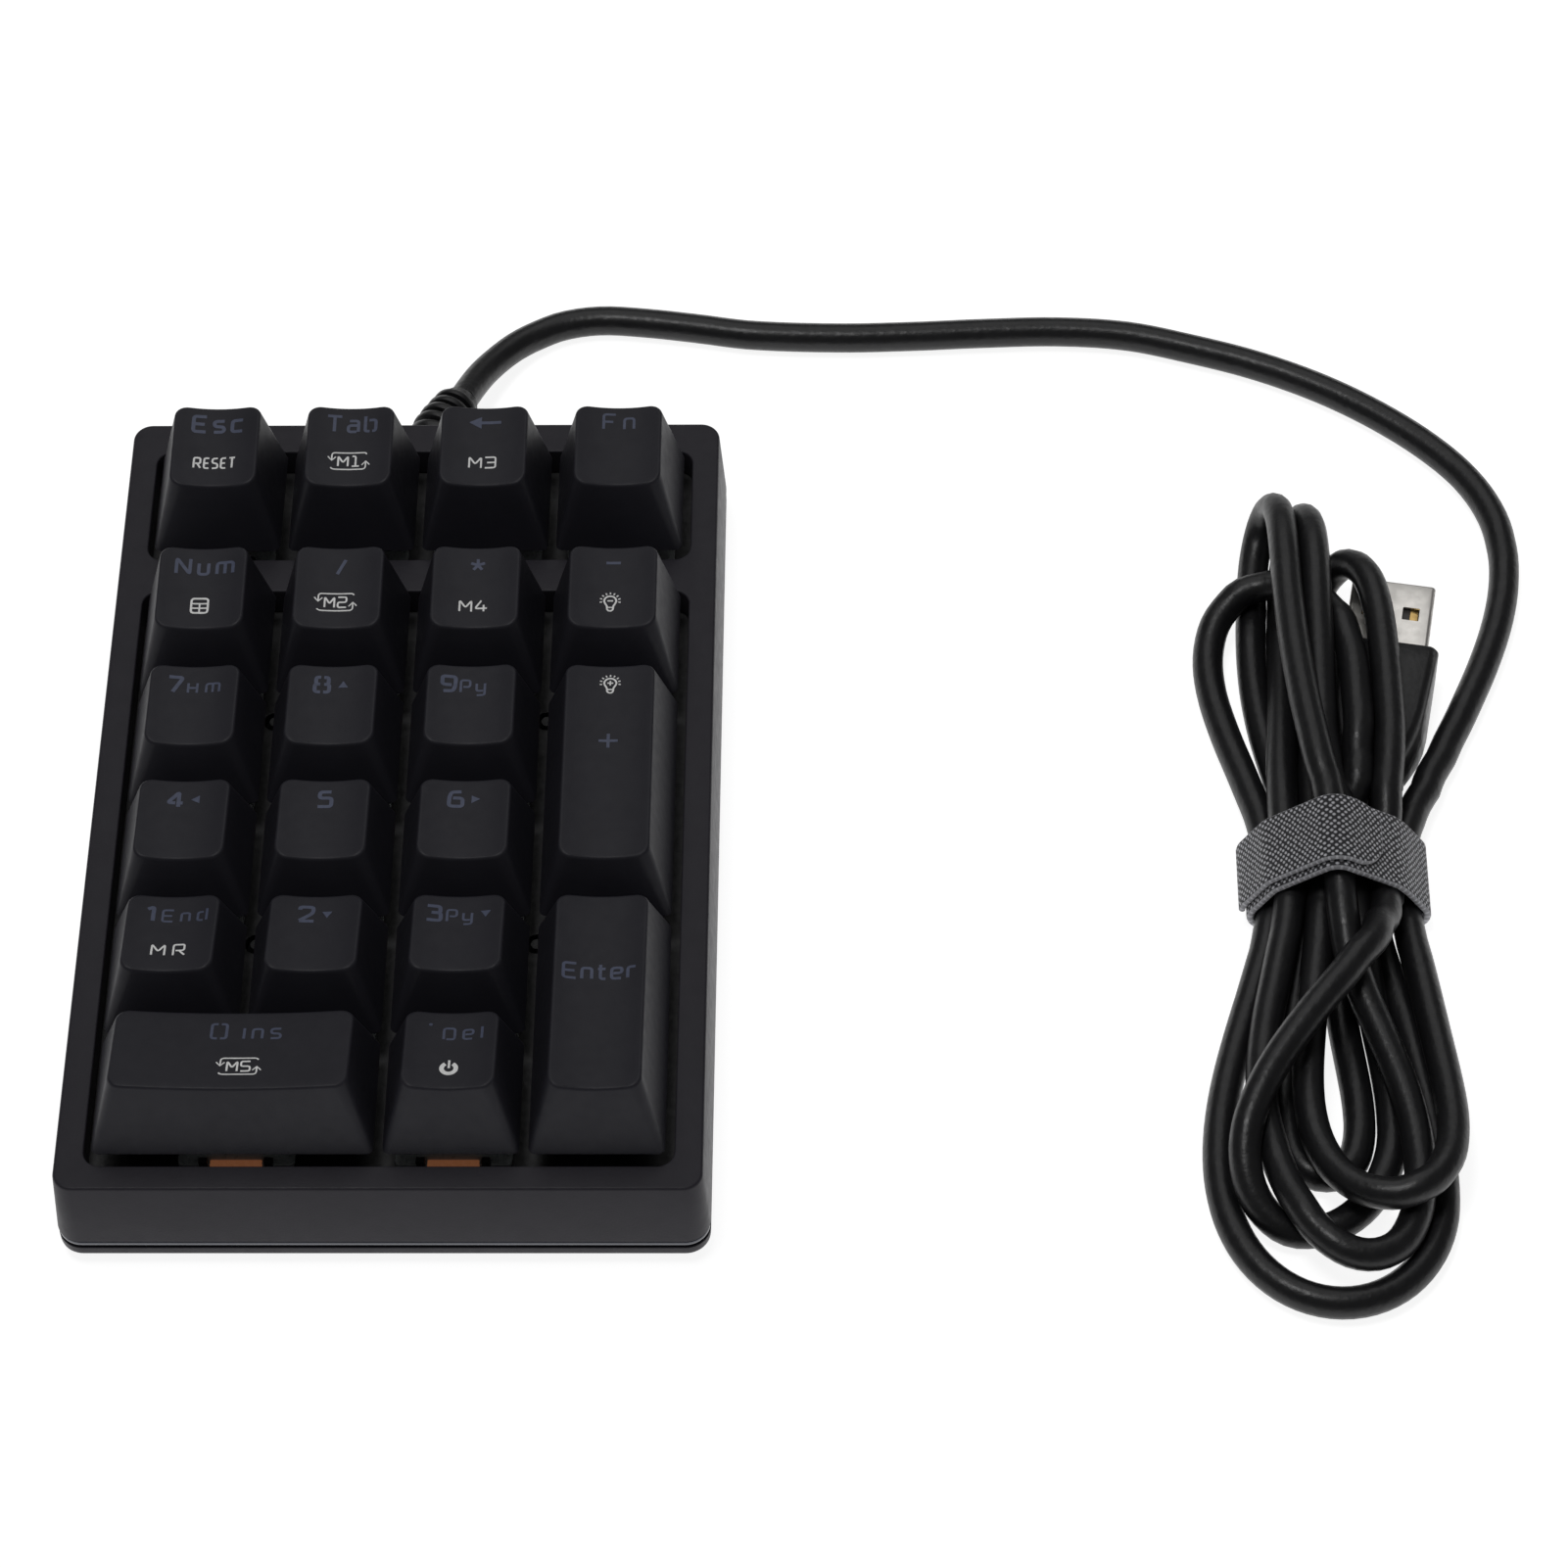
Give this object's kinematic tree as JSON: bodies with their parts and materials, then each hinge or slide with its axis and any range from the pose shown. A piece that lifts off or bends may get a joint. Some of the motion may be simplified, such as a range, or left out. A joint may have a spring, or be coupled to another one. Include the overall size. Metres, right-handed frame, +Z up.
{
  "type": "numeric keypad",
  "caption": "Wired numeric keypad: a low two-part case with a light strip, sprung full-travel keys in two windows, and a USB lead folded and tied beside it.",
  "frame": {"origin": "on the surface that the keypad stands on, under the middle of the case", "axes": "+X to the right across the columns of keys, +Y from the user's side to the lead's side, +Z up out of the key tops"},
  "size_m": [0.2013, 0.1777, 0.029],
  "materials": {
    "case_plastic": "fine satin texture, near black",
    "keycap_plastic": "fine matte, near black with a blue cast",
    "switch_housing": "clear smoky housing",
    "light_strip": "polished smoky acrylic",
    "switch_plate": "satin black powder coat",
    "circuit_board": "solder resist",
    "screw_steel": "plated",
    "foot_rubber": "matte",
    "cord_vinyl": "smooth glossy jacket",
    "tie_fabric": "woven hook-and-loop strap, grey on black",
    "plug_steel": "nickel-plated sheet",
    "plug_insert": "moulded"
  },
  "bodies": {
    "case": {"switch_esc": "switch_housing", "switch_tab": "switch_housing", "switch_backspace": "switch_housing", "switch_fn": "switch_housing", "switch_num_lock": "switch_housing", "switch_divide": "switch_housing", "switch_multiply": "switch_housing", "switch_minus": "switch_housing", "switch_7": "switch_housing", "switch_8": "switch_housing", "switch_9": "switch_housing", "switch_plus": "switch_housing", "switch_4": "switch_housing", "switch_5": "switch_housing", "switch_6": "switch_housing", "switch_1": "switch_housing", "switch_2": "switch_housing", "switch_3": "switch_housing", "switch_enter": "switch_housing", "switch_0": "switch_housing", "switch_decimal": "switch_housing", "top_case": "case_plastic", "bottom_case": "case_plastic", "light_strip": "light_strip", "switch_plate": "switch_plate", "circuit_board": "circuit_board", "rear_foot": "foot_rubber", "front_foot": "foot_rubber", "strain_relief": "cord_vinyl", "usb_cable": "cord_vinyl", "cable_hank": "cord_vinyl", "cable_tie": "tie_fabric", "plug_grip": "cord_vinyl", "plug_shell": "plug_steel", "plug_insert": "plug_insert", "case_screw_1": "screw_steel", "case_screw_2": "screw_steel", "case_screw_3": "screw_steel", "case_screw_4": "screw_steel"},
    "key_esc": {"keycap_esc": "keycap_plastic"},
    "key_tab": {"keycap_tab": "keycap_plastic"},
    "key_backspace": {"keycap_backspace": "keycap_plastic"},
    "key_fn": {"keycap_fn": "keycap_plastic"},
    "key_num_lock": {"keycap_num_lock": "keycap_plastic"},
    "key_divide": {"keycap_divide": "keycap_plastic"},
    "key_multiply": {"keycap_multiply": "keycap_plastic"},
    "key_minus": {"keycap_minus": "keycap_plastic"},
    "key_7": {"keycap_7": "keycap_plastic"},
    "key_8": {"keycap_8": "keycap_plastic"},
    "key_9": {"keycap_9": "keycap_plastic"},
    "key_plus": {"keycap_plus": "keycap_plastic"},
    "key_4": {"keycap_4": "keycap_plastic"},
    "key_5": {"keycap_5": "keycap_plastic"},
    "key_6": {"keycap_6": "keycap_plastic"},
    "key_1": {"keycap_1": "keycap_plastic"},
    "key_2": {"keycap_2": "keycap_plastic"},
    "key_3": {"keycap_3": "keycap_plastic"},
    "key_enter": {"keycap_enter": "keycap_plastic"},
    "key_0": {"keycap_0": "keycap_plastic"},
    "key_decimal": {"keycap_decimal": "keycap_plastic"}
  },
  "joints": [
    {"name": "press_esc", "type": "slide", "parent": "case", "child": "key_esc", "axis": [0, 0, -1], "range_m": [0, 0.004], "stiffness_N_per_m": 75, "springref_m": -0.004},
    {"name": "press_tab", "type": "slide", "parent": "case", "child": "key_tab", "axis": [0, 0, -1], "range_m": [0, 0.004], "stiffness_N_per_m": 75, "springref_m": -0.004},
    {"name": "press_backspace", "type": "slide", "parent": "case", "child": "key_backspace", "axis": [0, 0, -1], "range_m": [0, 0.004], "stiffness_N_per_m": 75, "springref_m": -0.004},
    {"name": "press_fn", "type": "slide", "parent": "case", "child": "key_fn", "axis": [0, 0, -1], "range_m": [0, 0.004], "stiffness_N_per_m": 75, "springref_m": -0.004},
    {"name": "press_num_lock", "type": "slide", "parent": "case", "child": "key_num_lock", "axis": [0, 0, -1], "range_m": [0, 0.004], "stiffness_N_per_m": 75, "springref_m": -0.004},
    {"name": "press_divide", "type": "slide", "parent": "case", "child": "key_divide", "axis": [0, 0, -1], "range_m": [0, 0.004], "stiffness_N_per_m": 75, "springref_m": -0.004},
    {"name": "press_multiply", "type": "slide", "parent": "case", "child": "key_multiply", "axis": [0, 0, -1], "range_m": [0, 0.004], "stiffness_N_per_m": 75, "springref_m": -0.004},
    {"name": "press_minus", "type": "slide", "parent": "case", "child": "key_minus", "axis": [0, 0, -1], "range_m": [0, 0.004], "stiffness_N_per_m": 75, "springref_m": -0.004},
    {"name": "press_7", "type": "slide", "parent": "case", "child": "key_7", "axis": [0, 0, -1], "range_m": [0, 0.004], "stiffness_N_per_m": 75, "springref_m": -0.004},
    {"name": "press_8", "type": "slide", "parent": "case", "child": "key_8", "axis": [0, 0, -1], "range_m": [0, 0.004], "stiffness_N_per_m": 75, "springref_m": -0.004},
    {"name": "press_9", "type": "slide", "parent": "case", "child": "key_9", "axis": [0, 0, -1], "range_m": [0, 0.004], "stiffness_N_per_m": 75, "springref_m": -0.004},
    {"name": "press_plus", "type": "slide", "parent": "case", "child": "key_plus", "axis": [0, 0, -1], "range_m": [0, 0.004], "stiffness_N_per_m": 75, "springref_m": -0.004},
    {"name": "press_4", "type": "slide", "parent": "case", "child": "key_4", "axis": [0, 0, -1], "range_m": [0, 0.004], "stiffness_N_per_m": 75, "springref_m": -0.004},
    {"name": "press_5", "type": "slide", "parent": "case", "child": "key_5", "axis": [0, 0, -1], "range_m": [0, 0.004], "stiffness_N_per_m": 75, "springref_m": -0.004},
    {"name": "press_6", "type": "slide", "parent": "case", "child": "key_6", "axis": [0, 0, -1], "range_m": [0, 0.004], "stiffness_N_per_m": 75, "springref_m": -0.004},
    {"name": "press_1", "type": "slide", "parent": "case", "child": "key_1", "axis": [0, 0, -1], "range_m": [0, 0.004], "stiffness_N_per_m": 75, "springref_m": -0.004},
    {"name": "press_2", "type": "slide", "parent": "case", "child": "key_2", "axis": [0, 0, -1], "range_m": [0, 0.004], "stiffness_N_per_m": 75, "springref_m": -0.004},
    {"name": "press_3", "type": "slide", "parent": "case", "child": "key_3", "axis": [0, 0, -1], "range_m": [0, 0.004], "stiffness_N_per_m": 75, "springref_m": -0.004},
    {"name": "press_enter", "type": "slide", "parent": "case", "child": "key_enter", "axis": [0, 0, -1], "range_m": [0, 0.004], "stiffness_N_per_m": 75, "springref_m": -0.004},
    {"name": "press_0", "type": "slide", "parent": "case", "child": "key_0", "axis": [0, 0, -1], "range_m": [0, 0.004], "stiffness_N_per_m": 75, "springref_m": -0.004},
    {"name": "press_decimal", "type": "slide", "parent": "case", "child": "key_decimal", "axis": [0, 0, -1], "range_m": [0, 0.004], "stiffness_N_per_m": 75, "springref_m": -0.004}
  ]
}
